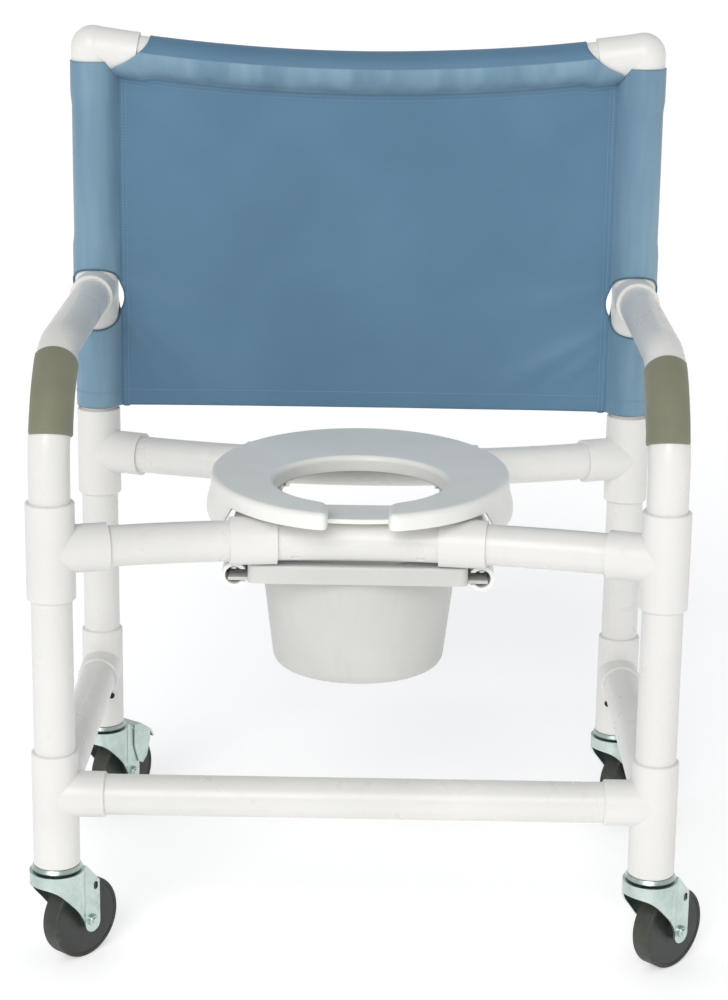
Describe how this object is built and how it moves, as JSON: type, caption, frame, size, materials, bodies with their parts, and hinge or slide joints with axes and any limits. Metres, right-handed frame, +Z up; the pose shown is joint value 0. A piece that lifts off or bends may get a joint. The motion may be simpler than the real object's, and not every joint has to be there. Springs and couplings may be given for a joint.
{
  "type": "commode chair",
  "caption": "Wide wheeled shower and commode chair: push-fit plastic pipe frame, mesh sling back, padded arms, open-front seat, slide-out pail and swivel casters.",
  "frame": {"origin": "on the floor, midway between the four leg axes", "axes": "+Z up, the sitter faces -Y, +X is on the sitter's left hand"},
  "size_m": [0.8164, 0.5913, 1.0796],
  "materials": {
    "pvc_pipe": "satin ivory white extruded pipe",
    "pvc_fitting": "satin ivory white moulded fitting",
    "foam_pad": "olive grey closed-cell foam",
    "track_plastic": "white split tube",
    "sling_mesh": "slate blue woven vinyl mesh",
    "seat_plastic": "pale blue-grey moulded plastic",
    "pail_plastic": "translucent-looking grey white plastic",
    "plated_steel": "zinc plated pressed steel",
    "black_screw": "blackened screw",
    "socket_plastic": "grey plug inside the leg",
    "wheel_plastic": "dark grey wheel centre",
    "tyre_rubber": "dark grey rubber tread"
  },
  "bodies": {
    "frame": {"leg_stub_pipes": "pvc_pipe", "front_leg_pipes": "pvc_pipe", "rear_lower_post_pipes": "pvc_pipe", "rear_middle_post_pipes": "pvc_pipe", "rear_upper_post_pipes": "pvc_pipe", "arm_pipe_left": "pvc_pipe", "arm_pipe_right": "pvc_pipe", "front_seat_rail": "pvc_pipe", "rear_seat_rail": "pvc_pipe", "top_rail": "pvc_pipe", "seat_side_rails": "pvc_pipe", "lower_front_rail": "pvc_pipe", "lower_side_rails": "pvc_pipe", "front_lower_fitting_left": "pvc_fitting", "front_lower_fitting_right": "pvc_fitting", "front_seat_tee_left": "pvc_fitting", "front_seat_tee_right": "pvc_fitting", "rear_seat_tee_left": "pvc_fitting", "rear_seat_tee_right": "pvc_fitting", "rear_lower_tee_left": "pvc_fitting", "rear_lower_tee_right": "pvc_fitting", "arm_tee_left": "pvc_fitting", "arm_tee_right": "pvc_fitting", "top_elbow_left": "pvc_fitting", "top_elbow_right": "pvc_fitting", "front_slip_tees": "pvc_fitting", "rear_slip_tees": "pvc_fitting", "arm_pad_left": "foam_pad", "pail_track_left": "track_plastic", "arm_pad_right": "foam_pad", "pail_track_right": "track_plastic", "back_sling": "sling_mesh", "track_screws": "plated_steel", "post_screws": "black_screw", "caster_sockets": "socket_plastic", "caster_stems": "plated_steel", "caster_top_cups": "plated_steel"},
    "seat": {"commode_seat": "seat_plastic"},
    "pail": {"commode_pail": "pail_plastic"},
    "swivel_front_left": {"caster_fork_front_left": "plated_steel", "caster_axle_front_left": "plated_steel"},
    "wheel_front_left": {"wheel_core_front_left": "wheel_plastic", "tyre_front_left": "tyre_rubber"},
    "swivel_front_right": {"caster_fork_front_right": "plated_steel", "caster_axle_front_right": "plated_steel"},
    "wheel_front_right": {"wheel_core_front_right": "wheel_plastic", "tyre_front_right": "tyre_rubber"},
    "swivel_rear_left": {"caster_fork_rear_left": "plated_steel", "caster_axle_rear_left": "plated_steel"},
    "wheel_rear_left": {"wheel_core_rear_left": "wheel_plastic", "tyre_rear_left": "tyre_rubber"},
    "brake_rear_left": {"brake_pedal_rear_left": "plated_steel"},
    "swivel_rear_right": {"caster_fork_rear_right": "plated_steel", "caster_axle_rear_right": "plated_steel"},
    "wheel_rear_right": {"wheel_core_rear_right": "wheel_plastic", "tyre_rear_right": "tyre_rubber"},
    "brake_rear_right": {"brake_pedal_rear_right": "plated_steel"}
  },
  "joints": [
    {"name": "seat_lift", "type": "slide", "parent": "frame", "child": "seat", "axis": [0, 0, 1], "range_m": [0, 0.25]},
    {"name": "pail_slide", "type": "slide", "parent": "frame", "child": "pail", "axis": [0, 1, 0], "range_m": [-0.3, 0.36]},
    {"name": "swivel_front_left_turn", "type": "hinge", "parent": "frame", "child": "swivel_front_left", "pos_m": [-0.354, -0.241, 0.1], "axis": [0, 0, 1], "continuous": true},
    {"name": "wheel_front_left_roll", "type": "hinge", "parent": "swivel_front_left", "child": "wheel_front_left", "pos_m": [-0.33118, -0.2138, 0.05], "axis": [-0.766, 0.6428, 0], "continuous": true},
    {"name": "swivel_front_right_turn", "type": "hinge", "parent": "frame", "child": "swivel_front_right", "pos_m": [0.354, -0.241, 0.1], "axis": [0, 0, 1], "continuous": true},
    {"name": "wheel_front_right_roll", "type": "hinge", "parent": "swivel_front_right", "child": "wheel_front_right", "pos_m": [0.37954, -0.21634, 0.05], "axis": [-0.6947, 0.7193, 0], "continuous": true},
    {"name": "swivel_rear_left_turn", "type": "hinge", "parent": "frame", "child": "swivel_rear_left", "pos_m": [-0.354, 0.241, 0.1], "axis": [0, 0, 1], "continuous": true},
    {"name": "wheel_rear_left_roll", "type": "hinge", "parent": "swivel_rear_left", "child": "wheel_rear_left", "pos_m": [-0.33313, 0.26972, 0.05], "axis": [-0.809, 0.5878, 0], "continuous": true},
    {"name": "brake_rear_left_press", "type": "hinge", "parent": "swivel_rear_left", "child": "brake_rear_left", "pos_m": [-0.32961, 0.27457, 0.093], "axis": [-0.809, 0.5878, 0], "range_deg": [0, 7]},
    {"name": "swivel_rear_right_turn", "type": "hinge", "parent": "frame", "child": "swivel_rear_right", "pos_m": [0.354, 0.241, 0.1], "axis": [0, 0, 1], "continuous": true},
    {"name": "wheel_rear_right_roll", "type": "hinge", "parent": "swivel_rear_right", "child": "wheel_rear_right", "pos_m": [0.38197, 0.26286, 0.05], "axis": [-0.6157, 0.788, 0], "continuous": true},
    {"name": "brake_rear_right_press", "type": "hinge", "parent": "swivel_rear_right", "child": "brake_rear_right", "pos_m": [0.3867, 0.26655, 0.093], "axis": [-0.6157, 0.788, 0], "range_deg": [0, 7]}
  ]
}
